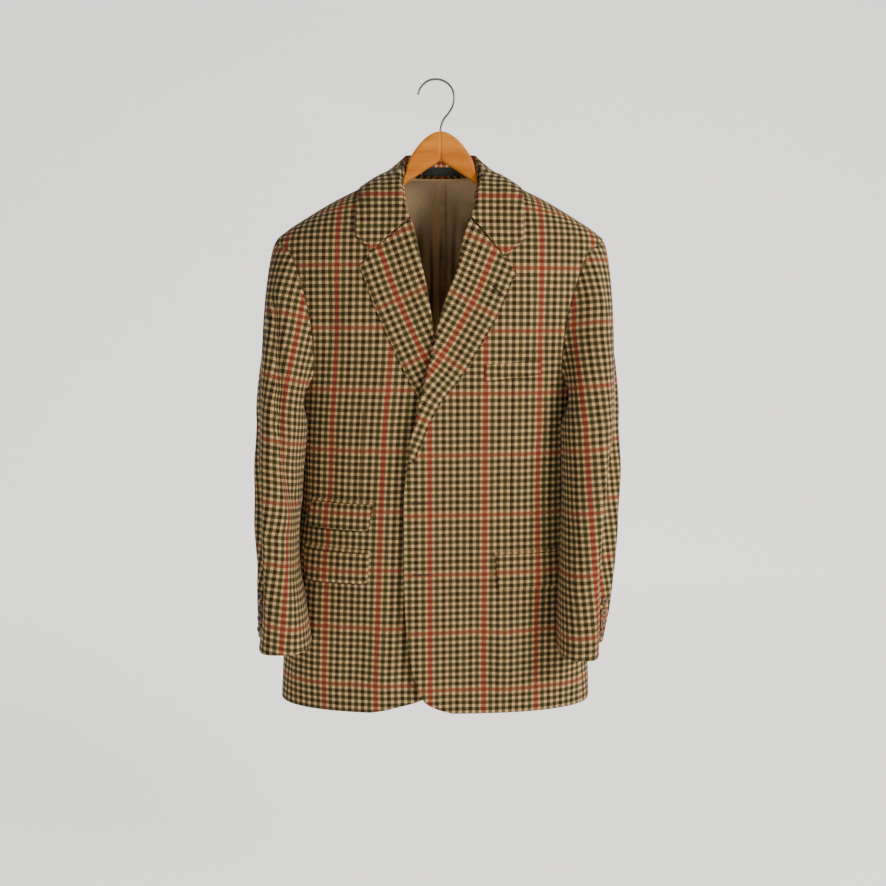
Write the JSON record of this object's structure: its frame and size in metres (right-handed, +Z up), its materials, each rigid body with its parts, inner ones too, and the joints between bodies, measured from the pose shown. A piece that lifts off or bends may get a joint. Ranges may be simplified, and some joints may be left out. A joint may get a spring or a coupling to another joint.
{
  "type": "sport coat on a hanger",
  "caption": "Checked single-breasted sport coat with notch lapels, flap pockets and buttoned cuffs, hanging unbuttoned on a wooden hanger with a wire hook.",
  "frame": {"origin": "inside of the crown of the hanger's hook, where a rail carries it", "axes": "+Z up, -Y to the front of the coat, +X to the wearer's left"},
  "size_m": [0.5865, 0.2178, 0.9785],
  "materials": {
    "tweed": "wool tweed in a tan and olive gun-club check under a red windowpane, matt",
    "lining": "olive-brown satin lining",
    "label": "plain dark woven label",
    "horn": "brown horn, polished",
    "wood": "clear-lacquered orange-tan wood",
    "steel": "dark round wire"
  },
  "bodies": {
    "root": {"front_left": "tweed", "front_right": "tweed", "side_left": "tweed", "side_right": "tweed", "back_left": "tweed", "back_right": "tweed", "lapel_left": "tweed", "lapel_right": "tweed", "collar": "tweed", "sleeve_left_top": "tweed", "sleeve_left_under": "tweed", "sleeve_right_top": "tweed", "sleeve_right_under": "tweed", "flap_hip_right": "tweed", "jet_hip_right": "tweed", "flap_ticket_right": "tweed", "jet_ticket_right": "tweed", "flap_hip_left": "tweed", "jet_hip_left": "tweed", "breast_welt": "tweed", "cuff_button_left_1": "horn", "cuff_button_left_2": "horn", "cuff_button_left_3": "horn", "cuff_button_left_4": "horn", "cuff_button_right_1": "horn", "cuff_button_right_2": "horn", "cuff_button_right_3": "horn", "cuff_button_right_4": "horn", "front_button_1": "horn", "front_button_2": "horn", "lining_back_left": "lining", "lining_back_right": "lining", "neck_label": "label", "hanger_arm_left": "wood", "hanger_arm_right": "wood", "hanger_hook": "steel"}
  },
  "joints": []
}
